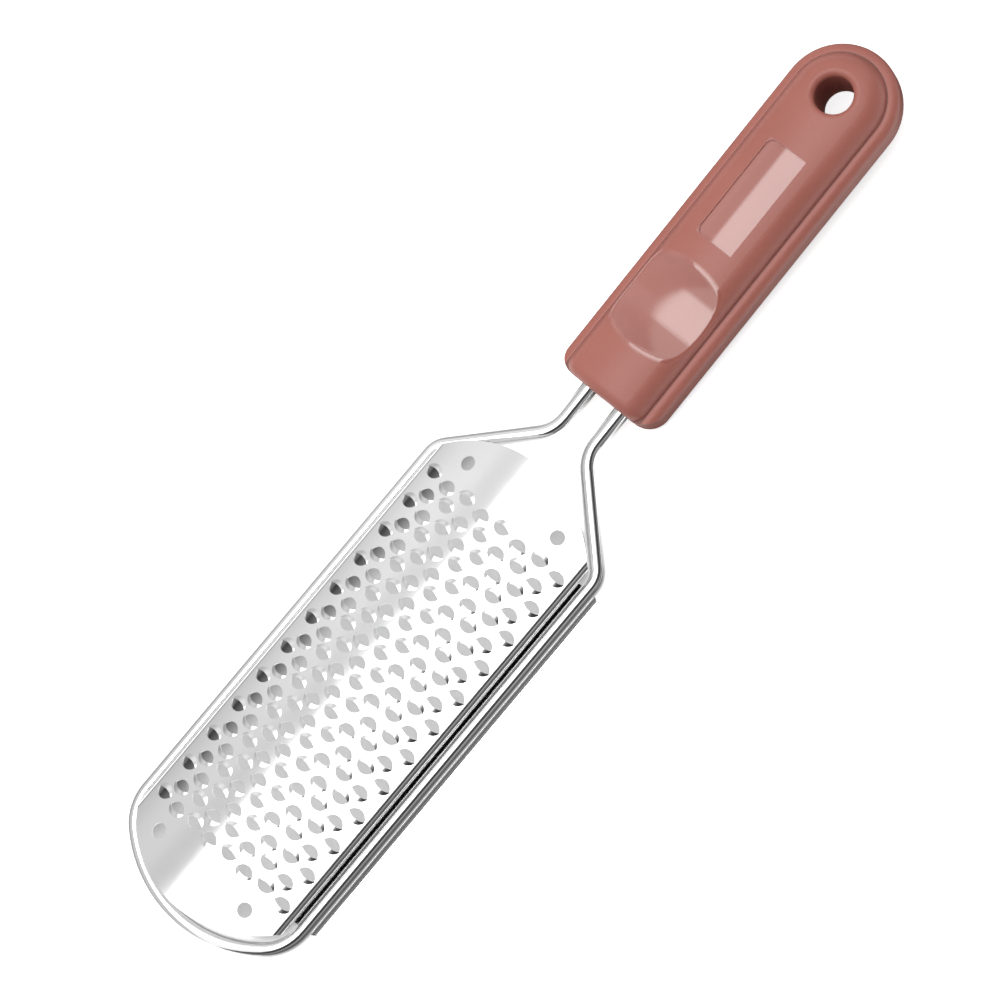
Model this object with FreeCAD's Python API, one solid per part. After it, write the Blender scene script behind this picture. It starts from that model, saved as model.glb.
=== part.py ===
import FreeCAD, Part
import math
import os

# Foot file: an arched rasp plate flanged under a bent wire loop, with a grip of two moulded shells.
# Millimetres. X runs from the tip to the grip, Y across, Z up on the rasping side.
# Sizes are given in the loop's frame: x = 0 at the middle of the plate, z = 0 at the wire's centre.
# At the end all pieces move together, so that the origin is the middle of the file's base.

Vector = FreeCAD.Vector

# Wire loop
wire_diameter = 4.0
loop_half_width = 26.0
tip_reach = 68.5
tip_radius = 33.5
tip_corner_radius = 12.0
shoulder_start = 54.6
shoulder_length = 20.4
shoulder_bend_radius = 5.5
neck_bend_radius = 9.0
prong_half_gap = 5.0
neck_length = 33.3
neck_pitch = 4.0
prong_depth = 40.0

# Rasp plate
sheet = 0.5
plate_tip_gap = 0.5
plate_end_rise = 11.1
plate_crown = 8.5
plate_crown_radius = 77.0
plate_bend_radius = 1.6
wire_seat_clearance = 0.1
flange_fold_radius = 0.8
flange_overhang = 1.0
flange_end_gap = 0.2
flange_corner_radius = 2.0

# Rasp teeth
tooth_column_pitch = 2.9
tooth_row_pitch = 8.9
tooth_end_margin = 5.0
hole_half_width = 2.3
hole_open_depth = 1.75
hole_under_lip = 1.25
hole_shift = 0.5
tooth_lip_edge = 0.7
tooth_lip_width = 1.2
tooth_lip_height = 0.36
tooth_lip_wall = 0.4
corner_hole_diameter = 3.7
corner_hole_gap = 7.0
corner_hole_column = 5

# Grip
grip_length = 101.6
grip_half_width = 14.5
grip_depth = 4.8
grip_floor = 2.0
grip_front_wall = 3.0
grip_front_corner_radius = 5.5
grip_lower_edge_radius = 3.5
ledge_height = 4.4
ledge_width = 2.8
ledge_edge_radius = 2.3
seat_width = 1.8
cavity_corner_radius = 1.5
prong_clearance = 0.1
rib_gap = 15.0
rib_thickness = 2.0
rib_top = 2.6

# Upper shell of the grip
dome_crown = 10.2
dome_sink = 1.0
dome_shoulder_radius = 5.85
dome_front_radius = 3.0
tongue_depth = 1.4
tongue_width = 1.2
tongue_bite = 0.6
tongue_clearance = 0.15
dish_centre = 25.6
dish_length = 22.4
dish_depth = 3.3
dish_waist_radius = 90.0
dish_wall = 2.7
dish_rim_radius = 2.0
panel_start = 43.7
panel_hang_gap = 10.3
panel_half_width = 5.35
panel_depth = 0.35
panel_corner_radius = 2.0

# Hang hole
hang_hole_diameter = 9.2
hang_hole_from_end = 14.2
hang_boss_wall = 1.8
hang_boss_split = 2.0
hang_rim_radius = 1.4

# Worked out from the sizes above
wire_radius = wire_diameter / 2
tip_centre = tip_radius - tip_reach
tip_inner_radius = tip_radius - tip_corner_radius
tip_corner_offset = loop_half_width - tip_corner_radius
tip_straight = math.sqrt(tip_inner_radius**2 - tip_corner_offset**2) - tip_centre
shoulder_turn = math.atan2(loop_half_width - prong_half_gap, shoulder_length)
shoulder_straight = shoulder_start - shoulder_bend_radius * math.tan(shoulder_turn / 2)
plate_wall = loop_half_width - wire_radius - wire_seat_clearance
flange_top = -wire_radius - wire_seat_clearance
flange_reach = loop_half_width + wire_radius + flange_overhang
flange_half_length = min(tip_straight, shoulder_straight) - flange_end_gap
plate_half_length = tip_reach - wire_radius - plate_tip_gap
plate_side_half_length = plate_half_length - plate_end_rise
plate_arc_centre = plate_crown - plate_crown_radius
plate_bend_y = plate_wall - plate_bend_radius
plate_bend_z = plate_arc_centre + math.sqrt((plate_crown_radius - plate_bend_radius)**2 - plate_bend_y**2)
plate_bend_angle = math.atan2(plate_bend_y, plate_bend_z - plate_arc_centre)
tooth_lip_reach = tooth_lip_edge + tooth_lip_width
tooth_lip_radius = (hole_half_width**2 + tooth_lip_reach**2) / (2 * tooth_lip_reach)
lower_wall = ledge_width + seat_width
dome_half_width = grip_half_width - ledge_width
dome_shoulder_y = dome_half_width - math.sqrt(dome_shoulder_radius**2 - dome_sink**2)
dome_rise = dome_crown - ledge_height + dome_sink
dome_crown_radius = (dome_shoulder_y**2 + dome_rise**2 - dome_shoulder_radius**2) / (
    2 * (dome_rise - dome_shoulder_radius))
grip_end_centre = grip_length - grip_half_width
hang_hole_u = grip_length - hang_hole_from_end
hang_hole_radius = hang_hole_diameter / 2
panel_end = hang_hole_u - hang_hole_radius - hang_rim_radius - panel_hang_gap
panel_length = panel_end - panel_start
far = 2 * (plate_half_length + grip_length)
punch_reach = 3 * sheet
edge_match = 0.04


def unit(vector):
    return vector * (1 / vector.Length)


def line(start, end):
    return Part.LineSegment(start, end).toShape()


def arc(start, middle, end):
    return Part.Arc(start, middle, end).toShape()


def round_corner(before, corner, after, radius):
    # Arc that rounds a corner, tangent to both runs, with its two ends
    back = unit(before - corner)
    ahead = unit(after - corner)
    half_angle = back.getAngle(ahead) / 2
    start = corner + back * (radius / math.tan(half_angle))
    end = corner + ahead * (radius / math.tan(half_angle))
    middle = corner + unit(back + ahead) * (radius / math.sin(half_angle) - radius)
    return start, arc(start, middle, end), end


def mirrored(shape):
    return shape.mirror(Vector(), Vector(0, 1, 0))


def prism(face, low, high):
    return face.extrude(Vector(0, 0, high - low)).translated(Vector(0, 0, low))


# Wire loop

def neck_point(along, across, up):
    # Point of the pitched neck, which turns up about the line through the two outer bends
    pitch = math.radians(neck_pitch)
    x = shoulder_start + along * math.cos(pitch) - up * math.sin(pitch)
    z = along * math.sin(pitch) + up * math.cos(pitch)
    return Vector(x, across, z)


def loop_side():
    # Path of one side of the loop, from the prong's end to the tip arc
    prong_end = neck_point(neck_length + prong_depth, prong_half_gap, 0)
    inner = neck_point(shoulder_length, prong_half_gap, 0)
    outer = neck_point(0, loop_half_width, 0)
    side_end = Vector(-tip_straight, loop_half_width, 0)
    inner_start, inner_arc, inner_end = round_corner(prong_end, inner, outer, neck_bend_radius)
    outer_start, outer_arc, outer_end = round_corner(inner, outer, side_end, shoulder_bend_radius)
    corner_centre = Vector(-tip_straight, tip_corner_offset, 0)
    outward = unit(corner_centre - Vector(tip_centre, 0, 0))
    tip_start = corner_centre + outward * tip_corner_radius
    corner_middle = corner_centre + unit(outward + Vector(0, 1, 0)) * tip_corner_radius
    edges = [
        line(prong_end, inner_start),
        inner_arc,
        line(inner_end, outer_start),
        outer_arc,
        line(outer_end, side_end),
        arc(side_end, corner_middle, tip_start),
    ]
    return edges, prong_end, unit(inner_start - prong_end), tip_start


def make_wire_frame():
    edges, prong_end, prong_direction, tip_start = loop_side()
    tip_other = Vector(tip_start.x, -tip_start.y, 0)
    tip_arc = arc(tip_start, Vector(-tip_reach, 0, 0), tip_other)
    path_edges = edges + [tip_arc] + [mirrored(edge) for edge in edges]
    path = Part.Wire(Part.__sortEdges__(path_edges))
    section = Part.Wire(Part.makeCircle(wire_radius, prong_end, prong_direction))
    return path.makePipeShell([section], True, False)


# Rasp plate

def plate_side_edges(offset):
    # One side of the sheet's section, from the crown's end down the wall and out to the flange's edge
    turn = Vector(0, math.sin(plate_bend_angle), math.cos(plate_bend_angle))
    crown_end = Vector(0, 0, plate_arc_centre) + turn * (plate_crown_radius - offset)
    bend_centre = Vector(0, plate_bend_y, plate_bend_z)
    bend_middle = bend_centre + unit(turn + Vector(0, 1, 0)) * (plate_bend_radius - offset)
    fold_y = plate_wall + flange_fold_radius
    fold_z = flange_top + flange_fold_radius
    fold = (flange_fold_radius + offset) / math.sqrt(2)
    wall_top = Vector(0, plate_wall - offset, plate_bend_z)
    wall_foot = Vector(0, plate_wall - offset, fold_z)
    flange_start = Vector(0, fold_y, flange_top - offset)
    flange_edge = Vector(0, flange_reach, flange_top - offset)
    edges = [
        arc(crown_end, bend_middle, wall_top),
        line(wall_top, wall_foot),
        arc(wall_foot, Vector(0, fold_y - fold, fold_z - fold), flange_start),
        line(flange_start, flange_edge),
    ]
    return edges, crown_end, flange_edge


def plate_section():
    edges = []
    flange_edges = []
    for offset in (0, sheet):
        side, crown_end, flange_edge = plate_side_edges(offset)
        crown_top = Vector(0, 0, plate_crown - offset)
        crown_start = Vector(0, -crown_end.y, crown_end.z)
        edges += side + [mirrored(edge) for edge in side] + [arc(crown_start, crown_top, crown_end)]
        flange_edges.append(flange_edge)
    cap = line(flange_edges[0], flange_edges[1])
    edges += [cap, mirrored(cap)]
    return Part.Face(Part.Wire(Part.__sortEdges__(edges)))


def plate_outline():
    # Plan of the arched top, with its two rounded ends
    corners = [Vector(x, y, 0) for x in (-plate_side_half_length, plate_side_half_length)
               for y in (-plate_wall, plate_wall)]
    edges = [
        line(corners[0], corners[2]),
        arc(corners[2], Vector(plate_half_length, 0, 0), corners[3]),
        line(corners[3], corners[1]),
        arc(corners[1], Vector(-plate_half_length, 0, 0), corners[0]),
    ]
    return prism(Part.Face(Part.Wire(edges)), -far, far)


def flange_outline():
    # Plan of one flange, with its two outer corners rounded
    wall_ends = [Vector(x, plate_wall, 0) for x in (-flange_half_length, flange_half_length)]
    outer = [Vector(point.x, flange_reach, 0) for point in wall_ends]
    first_start, first_arc, first_end = round_corner(wall_ends[0], outer[0], outer[1], flange_corner_radius)
    second_start, second_arc, second_end = round_corner(outer[0], outer[1], wall_ends[1], flange_corner_radius)
    edges = [
        line(wall_ends[0], first_start),
        first_arc,
        line(first_end, second_start),
        second_arc,
        line(second_end, wall_ends[1]),
        line(wall_ends[1], wall_ends[0]),
    ]
    return prism(Part.Face(Part.Wire(edges)), -far, far)


def wall_end_cut():
    # Slanted ends of the upright walls, which clear the wire's bends
    wire_top = wire_radius + wire_seat_clearance
    outline = Part.makePolygon([
        Vector(plate_side_half_length, 0, plate_bend_z),
        Vector(flange_half_length, 0, wire_top),
        Vector(flange_half_length, 0, -far),
        Vector(far, 0, -far),
        Vector(far, 0, plate_bend_z),
        Vector(plate_side_half_length, 0, plate_bend_z),
    ])
    cut = Part.Face(outline).extrude(Vector(0, far, 0)).translated(Vector(0, -far / 2, 0))
    return [cut, cut.mirror(Vector(), Vector(1, 0, 0))]


def on_crown(shape, x, arc_length, turn):
    # Copy of a shape made on a flat patch, turned about its upright and set on the arched crown
    angle = arc_length / plate_crown_radius
    copy = shape.copy()
    tilt = FreeCAD.Rotation(Vector(1, 0, 0), -math.degrees(angle))
    spin = FreeCAD.Rotation(Vector(0, 0, 1), turn)
    y = plate_crown_radius * math.sin(angle)
    z = plate_arc_centre + plate_crown_radius * math.cos(angle)
    copy.Placement = FreeCAD.Placement(Vector(x, y, z), tilt.multiply(spin)).multiply(shape.Placement)
    return copy


def tooth_opening(lip_depth):
    # Leaf-shaped opening of one tooth, on a flat patch with the sheet's top at z = 0
    ends = [Vector(hole_shift, y, 0) for y in (-hole_half_width, hole_half_width)]
    open_side = arc(ends[0], Vector(hole_shift - hole_open_depth, 0, 0), ends[1])
    lip_side = arc(ends[1], Vector(hole_shift + lip_depth, 0, 0), ends[0])
    return prism(Part.Face(Part.Wire([open_side, lip_side])), -punch_reach, punch_reach)


def tooth_lip():
    # Raised cutting lip of one tooth: the front of a hollow dome that overhangs the opening
    ball_radius = (tooth_lip_radius**2 + tooth_lip_height**2) / (2 * tooth_lip_height)
    centre = Vector(hole_shift + tooth_lip_reach - tooth_lip_radius, 0, tooth_lip_height - ball_radius)
    half_turn = FreeCAD.Rotation(Vector(0, 0, 1), 180)
    ball = Part.makeSphere(ball_radius)
    hollow = Part.makeSphere(ball_radius - tooth_lip_wall)
    for sphere in (ball, hollow):
        sphere.Placement = FreeCAD.Placement(centre, half_turn)
    room = Part.makeBox(far, far, far, Vector(hole_shift, -far / 2, -sheet / 2))
    return ball.cut(hollow).common(room).cut(tooth_opening(tooth_lip_edge))


def tooth_places():
    # Staggered columns along the plate; pairs of columns cut in opposite directions
    crown_half_arc = plate_crown_radius * plate_bend_angle
    half_columns = int((crown_half_arc - tooth_lip_radius) / tooth_column_pitch)
    full_rows = int(2 * (plate_side_half_length - tooth_end_margin) / tooth_row_pitch) + 1
    places = []
    for column in range(-half_columns, half_columns + 1):
        count = half_columns - column + 1
        rows = full_rows - (count + 1) % 2
        turn = 180 * (count // 2 % 2)
        for row in range(rows):
            x = (row - (rows - 1) / 2) * tooth_row_pitch
            places.append((x, column * tooth_column_pitch, turn))
    last_row = (full_rows - 1) / 2 * tooth_row_pitch
    return places, last_row


def make_rasp_plate():
    strip = plate_section().extrude(Vector(2 * plate_half_length, 0, 0))
    strip.translate(Vector(-plate_half_length, 0, 0))
    flange = flange_outline()
    plan = plate_outline().fuse([flange, mirrored(flange)])
    plate = strip.common(plan).cut(wall_end_cut())
    places, last_row = tooth_places()
    hole = tooth_opening(hole_under_lip)
    lip = tooth_lip()
    holes = [on_crown(hole, x, arc_length, turn) for x, arc_length, turn in places]
    drill = Part.makeCylinder(corner_hole_diameter / 2, 2 * punch_reach, Vector(0, 0, -punch_reach))
    for x in (-last_row - corner_hole_gap, last_row + corner_hole_gap):
        for column in (-corner_hole_column, corner_hole_column):
            holes.append(on_crown(drill, x, column * tooth_column_pitch, 0))
    lips = [on_crown(lip, x, arc_length, turn) for x, arc_length, turn in places]
    return plate.cut(holes).fuse(lips)


# Grip, in its own frame: x from its front face, z = 0 at the prongs' centre

def grip_outline(inset, front, corner_radius):
    # Plan of the grip, pulled in by inset: a rounded front and a half-round end
    half_width = grip_half_width - inset
    front_y = half_width - corner_radius
    side_x = front + corner_radius
    slant = corner_radius * (1 - math.sqrt(0.5))
    end_start = Vector(grip_end_centre, half_width, 0)
    end_middle = Vector(grip_end_centre + half_width, 0, 0)
    front_corner = arc(Vector(front, front_y, 0), Vector(front + slant, half_width - slant, 0),
                       Vector(side_x, half_width, 0))
    side = line(Vector(side_x, half_width, 0), end_start)
    end = arc(end_start, end_middle, Vector(grip_end_centre, -half_width, 0))
    front_edge = line(Vector(front, -front_y, 0), Vector(front, front_y, 0))
    edges = [front_edge, front_corner, side, end, mirrored(side), mirrored(front_corner)]
    return Part.Face(Part.Wire(Part.__sortEdges__(edges)))


def edges_at(shape, height):
    return [edge for edge in shape.Edges
            if abs(edge.BoundBox.ZMin - height) < edge_match and abs(edge.BoundBox.ZMax - height) < edge_match]


def hang_boss(low, high, radius):
    return Part.makeCylinder(radius, high - low, Vector(hang_hole_u, 0, low))


def make_lower_shell():
    block = prism(grip_outline(0, 0, grip_front_corner_radius), -grip_depth, ledge_height)
    block = block.makeFillet(grip_lower_edge_radius, edges_at(block, -grip_depth))
    ledge = prism(grip_outline(0, -grip_half_width, grip_front_corner_radius), -far, ledge_height)
    block = block.common(ledge.makeFillet(ledge_edge_radius, edges_at(ledge, ledge_height)))
    bore = hang_boss(-far, far, hang_hole_radius)
    block = block.cut(bore)
    mouth = [edge for edge in edges_at(block, -grip_depth) if edge.Curve.TypeId == "Part::GeomCircle"
             and abs(edge.Curve.Radius - hang_hole_radius) < edge_match]
    block = block.makeFillet(hang_rim_radius, mouth)
    floor = grip_floor - grip_depth
    cavity = prism(grip_outline(lower_wall, grip_front_wall, cavity_corner_radius), floor, ledge_height)
    inside = [hang_boss(floor, hang_boss_split, hang_hole_radius + hang_boss_wall)]
    rib_count = int((prong_depth - grip_front_wall) / rib_gap)
    for rib in range(rib_count):
        place = Vector(grip_front_wall + (rib + 1) * rib_gap - rib_thickness / 2, -grip_half_width, floor)
        inside.append(Part.makeBox(rib_thickness, 2 * grip_half_width, rib_top - floor, place))
    shell = block.cut(cavity.cut(inside))
    socket_radius = wire_radius + prong_clearance
    sockets = [Part.makeCylinder(socket_radius, prong_depth + 2 * rib_thickness,
                                 Vector(-rib_thickness, y, 0), Vector(1, 0, 0))
               for y in (-prong_half_gap, prong_half_gap)]
    return shell.cut(sockets)


def dome_half_section(inset):
    # Half of the dome's section above the ledge: crown arc and shoulder arc, pulled in by inset
    shoulder = dome_shoulder_radius - inset
    shoulder_centre = Vector(0, dome_shoulder_y, ledge_height - dome_sink)
    crown_centre = Vector(0, 0, dome_crown - dome_crown_radius)
    foot = Vector(0, dome_shoulder_y + math.sqrt(shoulder**2 - dome_sink**2), ledge_height)
    outward = unit(shoulder_centre - crown_centre)
    meet = shoulder_centre + outward * shoulder
    top = crown_centre + Vector(0, 0, dome_crown_radius - inset)
    crown_middle = crown_centre + unit(outward + Vector(0, 0, 1)) * (dome_crown_radius - inset)
    shoulder_middle = shoulder_centre + unit(outward + unit(foot - shoulder_centre)) * shoulder
    axis_foot = Vector(0, 0, ledge_height)
    edges = [
        arc(top, crown_middle, meet),
        arc(meet, shoulder_middle, foot),
        line(foot, axis_foot),
        line(axis_foot, top),
    ]
    return mirrored(Part.Face(Part.Wire(edges)))


def dome(inset, front):
    # Domed body of the upper shell above the ledge, with a half-round end
    half = dome_half_section(inset)
    side = half.extrude(Vector(grip_end_centre - front, 0, 0)).translated(Vector(front, 0, 0))
    end = half.revolve(Vector(), Vector(0, 0, 1), 180).translated(Vector(grip_end_centre, 0, 0))
    return side.fuse(mirrored(side)).fuse(end).removeSplitter()


def dish_roller(wall):
    # Waisted roller that hollows the thumb rest; wall makes it larger, for the shell under the rest
    radius = ((dish_length / 2)**2 + dish_depth**2) / (2 * dish_depth)
    axis_height = dome_crown - dish_depth + radius
    waist_centre = axis_height + radius + dish_waist_radius
    half_span = grip_half_width + wall
    rim = waist_centre - math.sqrt((dish_waist_radius - wall)**2 - half_span**2)
    middle = Vector(dish_centre, 0, axis_height + radius + wall)
    corners = [Vector(dish_centre, y, z) for y, z in (
        (-half_span, axis_height), (-half_span, rim), (half_span, rim), (half_span, axis_height))]
    edges = [
        line(corners[0], corners[1]),
        arc(corners[1], middle, corners[2]),
        line(corners[2], corners[3]),
        line(corners[3], corners[0]),
    ]
    profile = Part.Face(Part.Wire(edges))
    return profile.revolve(Vector(dish_centre, 0, axis_height), Vector(0, 1, 0), 360)


def label_panel():
    # Shallow panel that follows the crown, bare and polished
    panel = Part.makeBox(panel_length, 2 * panel_half_width, far, Vector(panel_start, -panel_half_width, ledge_height))
    uprights = [edge for edge in panel.Edges if abs(edge.Vertexes[0].Z - edge.Vertexes[1].Z) > panel_depth]
    panel = panel.makeFillet(panel_corner_radius, uprights)
    return panel.cut(dome(panel_depth, 0))


def shared_rim(shell, first, second):
    # Edges of the shell where the surfaces of two other shapes meet
    rim = []
    for edge in shell.Edges:
        middle = Part.Vertex(edge.valueAt((edge.FirstParameter + edge.LastParameter) / 2))
        reach = max(middle.distToShape(shape.Shells[0])[0] for shape in (first, second))
        if reach < edge_match:
            rim.append(edge)
    return rim


def front_rim(body):
    # Upper edges of the dome's front, from one side round to the other
    return [edge for edge in body.Edges
            if edge.BoundBox.XMax < grip_front_corner_radius and edge.BoundBox.ZMax > ledge_height + dome_sink
            and edge.BoundBox.YLength > edge_match]


def make_upper_shell():
    plan = grip_outline(0, 0, grip_front_corner_radius)
    body = dome(0, 0).common(prism(plan, ledge_height, 2 * dome_crown))
    body = body.makeFillet(dome_front_radius, front_rim(body))
    boss_radius = hang_hole_radius + hang_boss_wall
    guard = dish_roller(dish_wall)
    boss = hang_boss(hang_boss_split, dome_crown, boss_radius)
    cavity = dome(seat_width + tongue_bite, grip_front_wall + tongue_bite).cut(guard).cut(boss)
    tongue_inset = lower_wall + tongue_clearance
    tongue_front = grip_front_wall + tongue_clearance
    outside = grip_outline(tongue_inset, tongue_front, cavity_corner_radius)
    inside = grip_outline(tongue_inset + tongue_width, tongue_front + tongue_width, cavity_corner_radius)
    tongue = prism(outside.cut(inside), ledge_height - tongue_depth, ledge_height)
    under_dish = guard.common(prism(outside, rib_top, ledge_height))
    boss_foot = hang_boss(hang_boss_split, ledge_height, boss_radius)
    shell = body.cut(cavity).fuse(tongue).fuse(under_dish).fuse(boss_foot)
    dish = dish_roller(0)
    bore = hang_boss(-far, far, hang_hole_radius)
    shell = shell.cut(dish).cut(label_panel()).cut(bore)
    shell = shell.makeFillet(dish_rim_radius, shared_rim(shell, body, dish))
    return shell.makeFillet(hang_rim_radius, shared_rim(shell, body, bore))


def on_neck(shape):
    # Grip piece set at the end of the pitched neck
    pitch = FreeCAD.Rotation(Vector(0, 1, 0), -neck_pitch)
    placed = shape.copy()
    placed.Placement = FreeCAD.Placement(neck_point(neck_length, 0, 0), pitch).multiply(shape.Placement)
    return placed


pieces = {
    "wire_frame": make_wire_frame(),
    "rasp_plate": make_rasp_plate(),
    "handle_lower_shell": on_neck(make_lower_shell()),
    "handle_upper_shell": on_neck(make_upper_shell()),
}

whole = Part.makeCompound(list(pieces.values())).optimalBoundingBox(False)
to_base = Vector(-(whole.XMin + whole.XMax) / 2, 0, -whole.ZMin)

os.makedirs("parts", exist_ok=True)
for name, piece in pieces.items():
    piece.translated(to_base).exportStep("parts/" + name + ".step")
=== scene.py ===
"""Looks of the foot file: steel and moulded finishes, plain studio light and the camera."""

import logging
import math
from dataclasses import dataclass
from enum import Enum
from typing import Any, Union

import bmesh
import bpy
from mathutils import Matrix, Vector

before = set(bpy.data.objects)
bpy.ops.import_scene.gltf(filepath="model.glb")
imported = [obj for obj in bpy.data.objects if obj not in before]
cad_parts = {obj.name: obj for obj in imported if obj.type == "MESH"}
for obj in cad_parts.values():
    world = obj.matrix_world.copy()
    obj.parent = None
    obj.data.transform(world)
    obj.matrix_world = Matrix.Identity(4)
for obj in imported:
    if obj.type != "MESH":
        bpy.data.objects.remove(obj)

LOG = logging.getLogger("foot_file")
MM = 0.001
FULL_TURN = 360.0
NOISE_MIDDLE = 0.5
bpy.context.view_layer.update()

Value = Union["Signal", float]
Colour = tuple[float, float, float]
Scale = tuple[float, float, float]
Span = tuple[float, float]


class Node(Enum):
    """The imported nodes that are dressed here."""

    WIRE = "wire_frame"
    PLATE = "rasp_plate"
    LOWER = "handle_lower_shell"
    UPPER = "handle_upper_shell"


class GripDetail(Enum):
    """What sets the finish of one shell of the grip apart from the other."""

    # This shell's colour carries painted shade in the crease along the seam.
    JOINT_LINE = "joint_line"
    POLISHED_AREAS = "polished_areas"


class Ray(Enum):
    """Kinds of ray, by the names of the Light Path node's outputs."""

    CAMERA = "Is Camera Ray"
    GLOSSY = "Is Glossy Ray"
    THROUGH = "Is Transmission Ray"


class Signal:
    """A shader socket that takes part in arithmetic; each operator adds a Math node."""

    def __init__(self, graph: "Graph", socket: bpy.types.NodeSocket) -> None:
        """Keep the socket and the graph that it belongs to."""
        self.graph = graph
        self.socket = socket

    def math(self, operation: str, *others: Value) -> "Signal":
        """Add a Math node with this signal as its first input."""
        return self.graph.math(operation, self, *others)

    def __add__(self, other: Value) -> "Signal":
        """Sum of two signals."""
        return self.math("ADD", other)

    def __radd__(self, other: float) -> "Signal":
        """Sum of a number and this signal."""
        return self.math("ADD", other)

    def __sub__(self, other: Value) -> "Signal":
        """Difference of two signals."""
        return self.math("SUBTRACT", other)

    def __rsub__(self, other: float) -> "Signal":
        """A number less this signal."""
        return self.graph.math("SUBTRACT", other, self)

    def __mul__(self, other: Value) -> "Signal":
        """Product of two signals."""
        return self.math("MULTIPLY", other)

    def __rmul__(self, other: float) -> "Signal":
        """Product of a number and this signal."""
        return self.math("MULTIPLY", other)

    def __truediv__(self, other: Value) -> "Signal":
        """Quotient of two signals."""
        return self.math("DIVIDE", other)

    def __pow__(self, other: Value) -> "Signal":
        """This signal raised to a power."""
        return self.math("POWER", other)

    def __abs__(self) -> "Signal":
        """Size of this signal without its sign."""
        return self.math("ABSOLUTE")

    def root(self) -> "Signal":
        """Square root of this signal."""
        return self.math("SQRT")

    def most(self, other: Value) -> "Signal":
        """The larger of two signals."""
        return self.math("MAXIMUM", other)

    def step(self, low: float, high: float) -> "Signal":
        """Smooth rise from 0 at low to 1 at high.

        Args:
            low: Input at which the rise starts.
            high: Input at which it ends; below low it becomes a fall.

        Returns:
            The mask, between 0 and 1.
        """
        settings = {"interpolation_type": "SMOOTHSTEP"}
        inputs = {"Value": self, "From Min": low, "From Max": high}
        return self.graph.add("ShaderNodeMapRange", settings, inputs)


class Graph:
    """Adds nodes to one node tree, from left to right."""

    def __init__(self, tree: bpy.types.NodeTree) -> None:
        """Empty the tree and keep it."""
        self.tree = tree
        tree.nodes.clear()

    def make(self, kind: str, settings: dict[str, Any], inputs: dict[Any, Any]) -> bpy.types.Node:
        """Add a node.

        Args:
            kind: The node's type name.
            settings: Attributes to set first; "stops" gives a ramp's positions and colours.
            inputs: Socket name or index to a Signal or a plain value.

        Returns:
            The new node.
        """
        node = self.tree.nodes.new(kind)
        for name, value in settings.items():
            if name == "stops":
                self.set_stops(node.color_ramp, value)
            else:
                setattr(node, name, value)
        for key, value in inputs.items():
            socket = node.inputs[key]
            if isinstance(value, Signal):
                self.tree.links.new(value.socket, socket)
            else:
                socket.default_value = value
        return node

    def add(
        self, kind: str, settings: dict[str, Any], inputs: dict[Any, Any], output: Any = 0
    ) -> Signal:
        """Add a node and give one of its outputs.

        Args:
            kind: The node's type name.
            settings: Attributes to set first.
            inputs: Socket name or index to a Signal or a plain value.
            output: Name or index of the output to give.

        Returns:
            That output as a Signal.
        """
        return Signal(self, self.make(kind, settings, inputs).outputs[output])

    @staticmethod
    def set_stops(ramp: bpy.types.ColorRamp, stops: list[tuple[float, Colour]]) -> None:
        """Give a ramp its positions and colours.

        Args:
            ramp: The ramp to fill.
            stops: Position and colour of each stop, in rising order.
        """
        while len(ramp.elements) < len(stops):
            ramp.elements.new(1.0)
        for element, (position, colour) in zip(ramp.elements, stops):
            element.position = position
            element.color = (*colour, 1.0)

    def math(self, operation: str, *values: Value) -> Signal:
        """Add a Math node on signals and numbers."""
        return self.add("ShaderNodeMath", {"operation": operation}, dict(enumerate(values)))

    def mix(self, factor: Value, first: Any, second: Any) -> Signal:
        """Mix two colours.

        Args:
            factor: 0 for the first colour, 1 for the second.
            first: A colour or a Signal.
            second: A colour or a Signal.

        Returns:
            The mixed colour.
        """
        pair = [(*c, 1.0) if isinstance(c, tuple) else c for c in (first, second)]
        inputs = {0: factor, 6: pair[0], 7: pair[1]}
        return self.add("ShaderNodeMix", {"data_type": "RGBA"}, inputs, 2)

    def grey(self, level: Signal) -> Signal:
        """Colour of one level in all three channels."""
        return self.add("ShaderNodeCombineColor", {}, {0: level, 1: level, 2: level})

    def split(self, vector: Signal) -> tuple[Signal, Signal, Signal]:
        """The three parts of a vector."""
        node = self.make("ShaderNodeSeparateXYZ", {}, {0: vector})
        return tuple(Signal(self, output) for output in node.outputs)

    def place(self, output: str = "Object") -> Signal:
        """Coordinates as one vector."""
        return self.add("ShaderNodeTexCoord", {}, {}, output)

    def noise(self, scale: Scale, detail: float, roughness: float) -> Signal:
        """Noise on stretched object coordinates.

        Args:
            scale: Waves per metre along each axis.
            detail: Number of finer layers.
            roughness: Strength of the finer layers.

        Returns:
            The noise, between 0 and 1.
        """
        place = self.add("ShaderNodeMapping", {}, {"Vector": self.place(), "Scale": scale})
        inputs = {"Vector": place, "Scale": 1.0, "Detail": detail, "Roughness": roughness}
        return self.add("ShaderNodeTexNoise", {}, inputs)

    def bump(self, height: Signal, strength: float, distance: float) -> Signal:
        """Turn a height into a normal."""
        inputs = {"Height": height, "Strength": strength, "Distance": distance}
        return self.add("ShaderNodeBump", {}, inputs)

    def rays(self, *kinds: Ray) -> Signal:
        """Tell rays apart.

        Args:
            kinds: The kinds of ray to find.

        Returns:
            1 for a ray of any of those kinds and 0 for others.
        """
        path = self.make("ShaderNodeLightPath", {}, {})
        found, *others = (Signal(self, path.outputs[kind.value]) for kind in kinds)
        for other in others:
            found = found.most(other)
        return found

    def matt(self, level: float) -> Signal:
        """Matt grey shader of one level."""
        return self.add("ShaderNodeBsdfDiffuse", {}, {"Color": (*even(level), 1.0)})

    def surface(self, constants: dict[str, Any], varying: dict[str, Signal]) -> None:
        """End the tree in one Principled shader."""
        shader = self.add("ShaderNodeBsdfPrincipled", {}, {**constants, **varying})
        self.make("ShaderNodeOutputMaterial", {}, {"Surface": shader})


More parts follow.
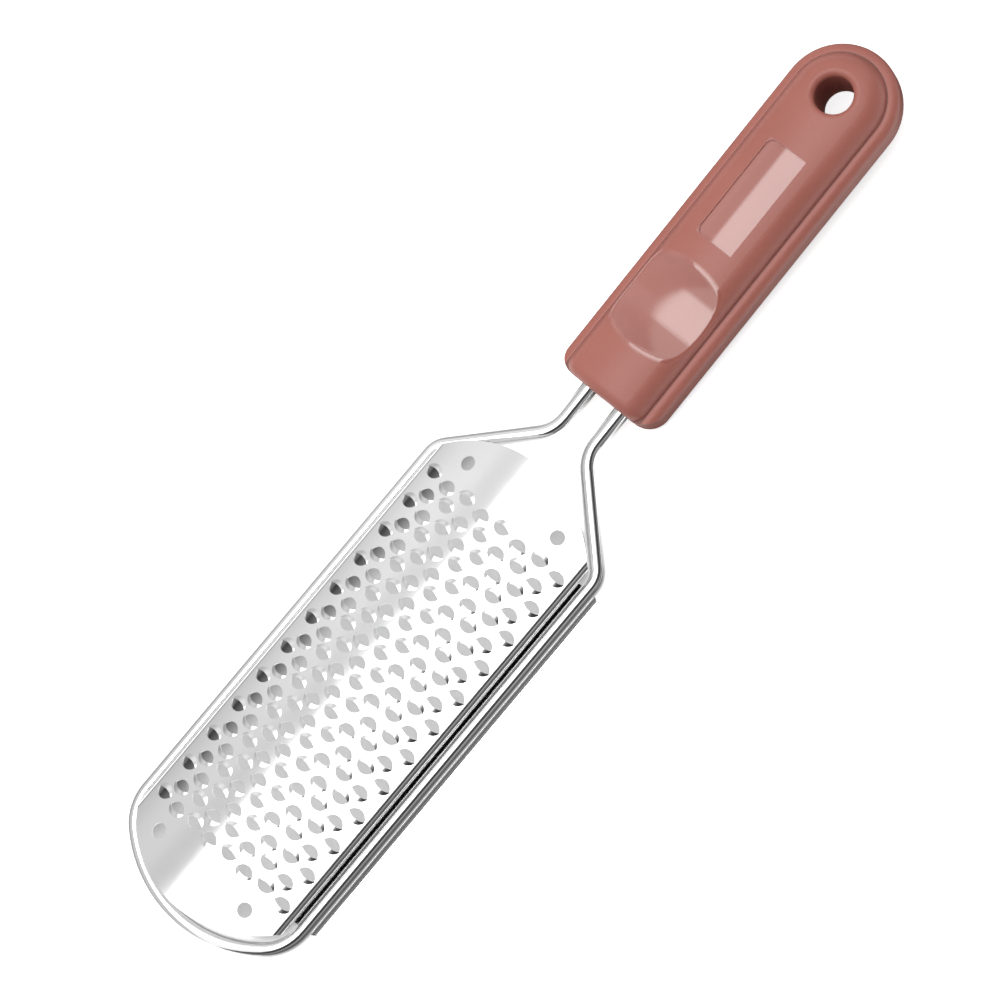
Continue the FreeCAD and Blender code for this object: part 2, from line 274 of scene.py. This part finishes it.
def even(level: float) -> Colour:
    """Grey of one level."""
    return (level, level, level)


def new_material(name: str) -> tuple[bpy.types.Material, Graph]:
    """Make an empty material.

    Args:
        name: The finish's name.

    Returns:
        The material and the graph that fills it.
    """
    material = bpy.data.materials.new(name)
    material.use_nodes = True
    return material, Graph(material.node_tree)


@dataclass(frozen=True)
class PolishedSteel:
    """Bright stainless steel with a trace of its rolling or drawing lines."""

    name: str
    bright: Colour
    dull: Colour
    roughness: float
    line_scale: Scale
    line_detail: float = 3.0
    line_fineness: float = 0.6
    line_share: float = 0.4
    line_haze: float = 0.5
    line_strength: float = 0.03
    line_depth: float = 0.02 * MM
    haze: float = 0.05
    smudge_scale: Scale = (45.0, 45.0, 45.0)
    smudge_detail: float = 3.0
    smudge_fineness: float = 0.5
    smudge_range: Span = (0.35, 0.75)
    smudge_share: float = 0.6
    ior: float = 2.5

    def make(self) -> bpy.types.Material:
        """Build the material.

        Returns:
            A new material that reads object coordinates only.
        """
        material, graph = new_material(self.name)
        lines = graph.noise(self.line_scale, self.line_detail, self.line_fineness)
        smudge = graph.noise(self.smudge_scale, self.smudge_detail, self.smudge_fineness)
        cloud = smudge.step(*self.smudge_range)
        wear = cloud * self.smudge_share + lines * self.line_share
        colour = graph.mix(wear, self.bright, self.dull)
        roughness = self.roughness + cloud * self.haze + lines * (self.haze * self.line_haze)
        normal = graph.bump(lines, self.line_strength, self.line_depth)
        graph.surface(
            {"Metallic": 1.0, "IOR": self.ior},
            {"Base Color": colour, "Roughness": roughness, "Normal": normal})
        return material


@dataclass(frozen=True)
class GripPlace:
    """Where the grip sits: its front centre and its pitch, with its polished areas and the
    painted shade at its seam.
    """

    front_x: float = 28.434 * MM
    front_z: float = 4.923 * MM
    pitch: float = math.radians(4.0)
    panel_start: float = 43.7 * MM
    panel_length: float = 27.4 * MM
    panel_half_width: float = 5.35 * MM
    panel_blur: float = 0.15 * MM
    dish_centre: float = 25.6 * MM
    dish_radius: float = 20.656 * MM
    dish_axis_height: float = 27.556 * MM
    dish_waist_radius: float = 90.0 * MM
    dish_skin: Span = (0.8 * MM, 0.2 * MM)
    dish_reach: Span = (13.6 * MM, 12.8 * MM)
    end_centre: float = 87.1 * MM
    # Sizes that place the band of painted shade on the lower shell, in the crease at the upper
    # shell's foot.
    seam_reach: float = 11.7 * MM
    seam_height: float = 4.4 * MM
    seam_width: float = 0.35 * MM
    seam_blur: float = 0.1 * MM
    seam_rise: Span = (0.2 * MM, 0.1 * MM)

    def along_and_up(self, graph: Graph) -> tuple[Signal, Signal, Signal]:
        """Coordinates in the grip's own frame.

        Args:
            graph: The material's node tree.

        Returns:
            Distance from the front, across and up from the prongs' centre.
        """
        x, y, z = graph.split(graph.place())
        x = x - self.front_x
        z = z - self.front_z
        along = x * math.cos(self.pitch) + z * math.sin(self.pitch)
        up = z * math.cos(self.pitch) - x * math.sin(self.pitch)
        return along, y, up

    def polished(self, graph: Graph) -> Signal:
        """Mask of the polished panel and the thumb rest.

        Args:
            graph: The material's node tree.

        Returns:
            1 on the polished areas and 0 elsewhere.
        """
        along, across, up = self.along_and_up(graph)
        half_length = self.panel_length / 2
        half_width = self.panel_half_width
        beyond = abs(along - (self.panel_start + half_length))
        panel = beyond.step(half_length + self.panel_blur, half_length)
        panel = panel * abs(across).step(half_width + self.panel_blur, half_width)
        reach = along - self.dish_centre
        lift = up - self.dish_axis_height
        distance = (reach * reach + lift * lift).root()
        waist = (self.dish_waist_radius**2 - across * across).root()
        wall = (self.dish_radius + self.dish_waist_radius) - waist
        dish = (distance - wall).step(*self.dish_skin) * abs(reach).step(*self.dish_reach)
        return panel.most(dish)

    def seam(self, graph: Graph) -> Signal:
        """Mask of the painted shade in the narrow crease round the foot of the upper shell.

        Args:
            graph: The material's node tree.

        Returns:
            1 in the painted seam shade and 0 elsewhere.
        """
        along, across, up = self.along_and_up(graph)
        beyond = (along - self.end_centre).most(0.0)
        reach = (beyond * beyond + across * across).root()
        edge = self.seam_reach + self.seam_width
        low, high = (self.seam_height - depth for depth in self.seam_rise)
        return reach.step(edge, edge - self.seam_blur) * up.step(low, high)


@dataclass(frozen=True)
class SatinPlastic:
    """Moulded plastic with a fine satin grain and the detail of its shell: polished areas, or
    painted shade at the seam.
    """

    name: str
    colour: Colour
    pale: Colour
    # Darker colour laid into the seam crease as painted shade.
    painted_seam_colour: Colour
    roughness: float = 0.42
    polish: float = 0.12
    grain_scale: Scale = (2600.0, 2600.0, 2600.0)
    grain_detail: float = 2.0
    grain_fineness: float = 0.6
    grain_share: float = 0.4
    grain_swing: float = 0.1
    grain_strength: float = 0.25
    grain_depth: float = 0.04 * MM
    cloud_scale: Scale = (60.0, 60.0, 60.0)
    cloud_detail: float = 3.0
    cloud_fineness: float = 0.5
    cloud_share: float = 0.6
    cloud_swing: float = 0.12
    fleck_range: Span = (0.3, 0.75)
    ior: float = 1.5
    coat_roughness: float = 0.05
    coat_ior: float = 1.7

    def make(self, place: GripPlace, detail: GripDetail) -> bpy.types.Material:
        """Build the material.

        Args:
            place: Gives the masks of the polished areas and of the painted seam shade.
            detail: Which of them the shell has.

        Returns:
            A new material that reads object coordinates only.
        """
        material, graph = new_material(self.name)
        grain = graph.noise(self.grain_scale, self.grain_detail, self.grain_fineness)
        cloud = graph.noise(self.cloud_scale, self.cloud_detail, self.cloud_fineness)
        fleck = cloud * self.cloud_share + grain * self.grain_share
        colour = graph.mix(fleck.step(*self.fleck_range), self.colour, self.pale)
        satin = self.roughness + (cloud - NOISE_MIDDLE) * self.cloud_swing
        satin = satin + (grain - NOISE_MIDDLE) * self.grain_swing
        height = grain
        coat = {}
        if detail is GripDetail.POLISHED_AREAS:
            gloss = place.polished(graph)
            coat = {"Coat Weight": gloss}
            satin = satin * (1.0 - gloss) + self.polish * gloss
            height = grain * (1.0 - gloss)
        else:
            # Painted shade: darkens the colour in the crease where the upper shell's foot meets
            # the lower shell's ledge.
            colour = graph.mix(place.seam(graph), colour, self.painted_seam_colour)
        normal = graph.bump(height, self.grain_strength, self.grain_depth)
        graph.surface(
            {"IOR": self.ior, "Coat Roughness": self.coat_roughness, "Coat IOR": self.coat_ior},
            {"Base Color": colour, "Roughness": satin, "Normal": normal, **coat})
        return material


@dataclass
class RaspHead:
    """The punched plate and the wire loop that carries it."""

    plate_finish: PolishedSteel = PolishedSteel(
        name="rolled_bright_sheet",
        bright=even(0.86),
        dull=even(0.80),
        roughness=0.10,
        line_scale=(30.0, 1500.0, 1500.0))
    wire_finish: PolishedSteel = PolishedSteel(
        name="drawn_bright_wire",
        bright=even(0.84),
        dull=even(0.76),
        roughness=0.09,
        line_scale=(500.0, 500.0, 500.0))

    def dress(self) -> None:
        """Give both steel pieces their finishes."""
        dress_node(Node.PLATE, self.plate_finish.make())
        dress_node(Node.WIRE, self.wire_finish.make())


@dataclass
class Grip:
    """The two moulded shells of the grip."""

    place: GripPlace = GripPlace()
    finish: SatinPlastic = SatinPlastic(
        name="dusty_rose_satin",
        colour=(0.40, 0.130, 0.100),
        pale=(0.44, 0.150, 0.118),
        # Painted seam shade, about half the base colour.
        painted_seam_colour=(0.20, 0.065, 0.05))

    def dress(self) -> None:
        """Give both shells their finish, each with its own detail."""
        # The lower shell carries the painted seam shade.
        dress_node(Node.LOWER, self.finish.make(self.place, GripDetail.JOINT_LINE))
        dress_node(Node.UPPER, self.finish.make(self.place, GripDetail.POLISHED_AREAS))


def dress_node(node: Node, material: bpy.types.Material) -> None:
    """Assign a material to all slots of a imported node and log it.

    Args:
        node: The node to dress.
        material: Its new material.
    """
    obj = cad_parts[node.value]
    if not obj.material_slots:
        obj.data.materials.append(material)
    for slot in obj.material_slots:
        slot.material = material
    LOG.info("dressed %s in %s", node.value, material.name)


@dataclass
class Floor:
    """White floor that keeps a soft shadow, with painted shadow under the plate; it is clear from
    below.
    """

    size: float = 6.0
    drop: float = 0.05 * MM
    colour: float = 0.85
    shade: float = 0.12
    shade_beside_plate: Span = (-14.0 * MM, -40.0 * MM)
    shade_grip_start: Span = (20.0 * MM, 30.0 * MM)
    shade_grip_left: Span = (90.0 * MM, 45.0 * MM)
    shade_grip_right: Span = (-24.0 * MM, -14.0 * MM)
    shade_under_plate: Span = (16.0 * MM, 25.0 * MM)
    glow: float = 0.7
    # Glow of the floor under the plate, dimmed as a painted shadow.
    painted_shadow_glow: float = 0.07
    # Painted light: glow of the floor under the plate for rays other than the camera's.
    painted_light_under_plate: float = 0.35
    plate_centre: float = -59.4 * MM
    plate_half_length: float = 62.0 * MM
    plate_half_width: float = 27.0 * MM
    plate_corner_power: float = 6.0
    plate_edge: Span = (1.05, 0.85)

    def build(self) -> None:
        """Lay the floor under the file."""
        mesh = bpy.data.meshes.new("floor")
        shape = bmesh.new()
        bmesh.ops.create_grid(shape, x_segments=1, y_segments=1, size=self.size / 2)
        bmesh.ops.translate(shape, verts=shape.verts, vec=(0.0, 0.0, -self.drop))
        shape.to_mesh(mesh)
        shape.free()
        mesh.materials.append(self.make_material())
        floor = bpy.data.objects.new("floor", mesh)
        bpy.context.scene.collection.objects.link(floor)
        LOG.info("laid floor")

    def make_material(self) -> bpy.types.Material:
        """Build the white that is shown and the shade that steel and plastic pick up.

        Returns:
            A new material for the floor.
        """
        material, graph = new_material("white_floor")
        along, across, _ = graph.split(graph.place())
        seen = graph.rays(Ray.CAMERA)
        covered = self.under_plate(along, across)
        # Painted shadow: the floor under the plate glows far less than the open floor, for
        # camera, glossy and transmission rays.
        level = (self.glow - covered * (self.glow - self.painted_shadow_glow)) * graph.rays(*Ray)
        # Painted light: for rays other than the camera's the floor under the plate glows,
        # standing in for light through the teeth.
        level = level + covered * (1.0 - seen) * self.painted_light_under_plate
        glow = graph.add("ShaderNodeEmission", {}, {"Color": graph.grey(level)})
        white = graph.add("ShaderNodeAddShader", {}, {0: graph.matt(self.colour), 1: glow})
        # Painted shade: under the plate's +Y edge the floor takes the dark shade for every ray,
        # the camera's too.
        painted_shade_under_edge = covered * across.step(*self.shade_under_plate)
        dark = ((1.0 - seen) * self.beside(along, across)).most(painted_shade_under_edge)
        shade = graph.matt(self.shade)
        top = graph.add("ShaderNodeMixShader", {}, {0: dark, 1: white, 2: shade})
        below = graph.add("ShaderNodeNewGeometry", {}, {}, "Backfacing")
        clear = graph.add("ShaderNodeBsdfTransparent", {}, {})
        one_sided = graph.add("ShaderNodeMixShader", {}, {0: below, 1: top, 2: clear})
        graph.make("ShaderNodeOutputMaterial", {}, {"Surface": one_sided})
        return material

    def under_plate(self, along: Signal, across: Signal) -> Signal:
        """Mask of the floor under the plate, with rounded corners.

        Args:
            along: Distance along the file.
            across: Distance across it.

        Returns:
            1 under the plate and 0 elsewhere.
        """
        reach = abs(along - self.plate_centre) / self.plate_half_length
        spread = abs(across) / self.plate_half_width
        power = self.plate_corner_power
        return (reach**power + spread**power).step(*self.plate_edge)

    def beside(self, along: Signal, across: Signal) -> Signal:
        """Mask of the shaded floor beside the plate and round the grip.

        Args:
            along: Distance along the file.
            across: Distance across it.

        Returns:
            1 where the floor is shaded and 0 elsewhere.
        """
        at_grip = along.step(*self.shade_grip_start)
        left = across.step(*self.shade_grip_left)
        right = across.step(*self.shade_grip_right)
        near_grip = at_grip * left * right
        return near_grip + (1.0 - at_grip) * across.step(*self.shade_beside_plate)


@dataclass
class Sky:
    """Studio sky of soft bands along the file; all angles are in degrees."""

    box_lean: Span = (-16.0, 22.0)
    box_run: Span = (-32.0, 15.0)
    box_blur: float = 2.5
    box_end_blur: Span = (0.08, 0.04)
    box_level: float = 3.3
    box_end_level: float = 1.2
    tip_dim: float = 0.84
    neck_lift: float = 0.28
    lift_rise: Span = (-10.0, 1.0)
    lift_fall: Span = (30.0, 12.0)
    seen_level: float = 1.0
    side_levels: tuple[Span, ...] = (
        (-180.0, 0.5), (-95.0, 0.5), (-84.0, 0.10), (-66.0, 0.40), (-58.0, 0.40),
        (-50.0, 0.06), (-29.0, 0.06), (-20.0, 0.35), (0.0, 0.8), (25.0, 0.74),
        (31.0, 0.74), (37.0, 0.88), (47.0, 0.86), (54.0, 0.74), (60.0, 0.60),
        (68.0, 0.50), (88.0, 0.50), (95.0, 0.5), (180.0, 0.5))

    def build(self) -> None:
        """Light the file: a long light box above, pale on one side, dark on the other."""
        world = bpy.data.worlds.new("studio")
        bpy.context.scene.world = world
        world.use_nodes = True
        graph = Graph(world.node_tree)
        end, side, up = graph.split(graph.place("Generated"))
        lean = side.math("ARCTAN2", up)
        strip = self.strip(lean)
        sides = graph.grey(self.sides(graph, lean, end))
        colour = graph.mix(strip, sides, even(self.box_end_level))
        colour = graph.mix(strip * self.run(end), colour, even(self.box_level))
        colour = graph.mix(graph.rays(Ray.CAMERA), colour, even(self.seen_level))
        background = graph.add("ShaderNodeBackground", {}, {"Color": colour})
        graph.make("ShaderNodeOutputWorld", {}, {"Surface": background})
        LOG.info("built sky")

    def sides(self, graph: Graph, lean: Signal, end: Signal) -> Signal:
        """Level of the bands on both sides of the light box.

        Args:
            graph: The world's node tree.
            lean: Angle from straight up, across the file.
            end: Sine of the angle along the file.

        Returns:
            The level, raised a little towards the neck.
        """
        stops = [(angle / FULL_TURN + 0.5, even(level)) for angle, level in self.side_levels]
        turn = lean / (2.0 * math.pi) + 0.5
        bands = graph.add("ShaderNodeValToRGB", {"stops": stops}, {0: turn})
        rise, fall = (sines(pair) for pair in (self.lift_rise, self.lift_fall))
        return bands * (self.tip_dim + end.step(*rise) * end.step(*fall) * self.neck_lift)

    def strip(self, lean: Signal) -> Signal:
        """Mask of the strip that holds the light box, by the angle across the file."""
        low, high = (math.radians(angle) for angle in self.box_lean)
        soft = math.radians(self.box_blur)
        return lean.step(low - soft, low + soft) * lean.step(high + soft, high - soft)

    def run(self, end: Signal) -> Signal:
        """Mask of the light box's length, by the sine of the angle along the file."""
        start, stop = sines(self.box_run)
        outer, inner = self.box_end_blur
        return end.step(start - outer, start + inner) * end.step(stop + outer, stop - inner)


def sines(angles: Span) -> Span:
    """Sines of two angles in degrees."""
    first, second = (math.sin(math.radians(angle)) for angle in angles)
    return first, second


@dataclass
class PhotoCamera:
    """Camera at the photograph's viewing angle; angles are in degrees."""

    tilt: float = 20.0
    lean: float = -0.48
    roll: float = 49.95
    target_in_mm: tuple[float, float, float] = (-5.16, 4.95, 2.6)
    distance: float = 760.7 * MM
    sensor_width: float = 36.0
    lens_to_sensor: float = 3.244
    clip_start: float = 0.01

    def build(self) -> None:
        """Place the camera and make it the scene's own."""
        tilt, lean, roll = (math.radians(angle) for angle in (self.tilt, self.lean, self.roll))
        level = math.cos(lean)
        towards = Vector((math.sin(lean), -math.sin(tilt) * level, math.cos(tilt) * level))
        along = (Vector((1.0, 0.0, 0.0)) - towards * towards.x).normalized()
        across = towards.cross(along)
        right = math.cos(roll) * along - math.sin(roll) * across
        upward = math.sin(roll) * along + math.cos(roll) * across
        data = bpy.data.cameras.new("camera")
        data.sensor_width = self.sensor_width
        data.lens = self.lens_to_sensor * self.sensor_width
        data.clip_start = self.clip_start
        camera = bpy.data.objects.new("camera", data)
        turn = Matrix((right, upward, towards)).transposed().to_4x4()
        place = Vector(self.target_in_mm) * MM + towards * self.distance
        camera.matrix_world = Matrix.Translation(place) @ turn
        bpy.context.scene.collection.objects.link(camera)
        bpy.context.scene.camera = camera
        LOG.info("set camera")


def main() -> None:
    """Dress the file and set the studio."""
    logging.basicConfig(level=logging.INFO)
    bpy.context.scene.view_settings.view_transform = "Standard"
    RaspHead().dress()
    Grip().dress()
    Floor().build()
    Sky().build()
    PhotoCamera().build()


if __name__ == "__main__":
    main()
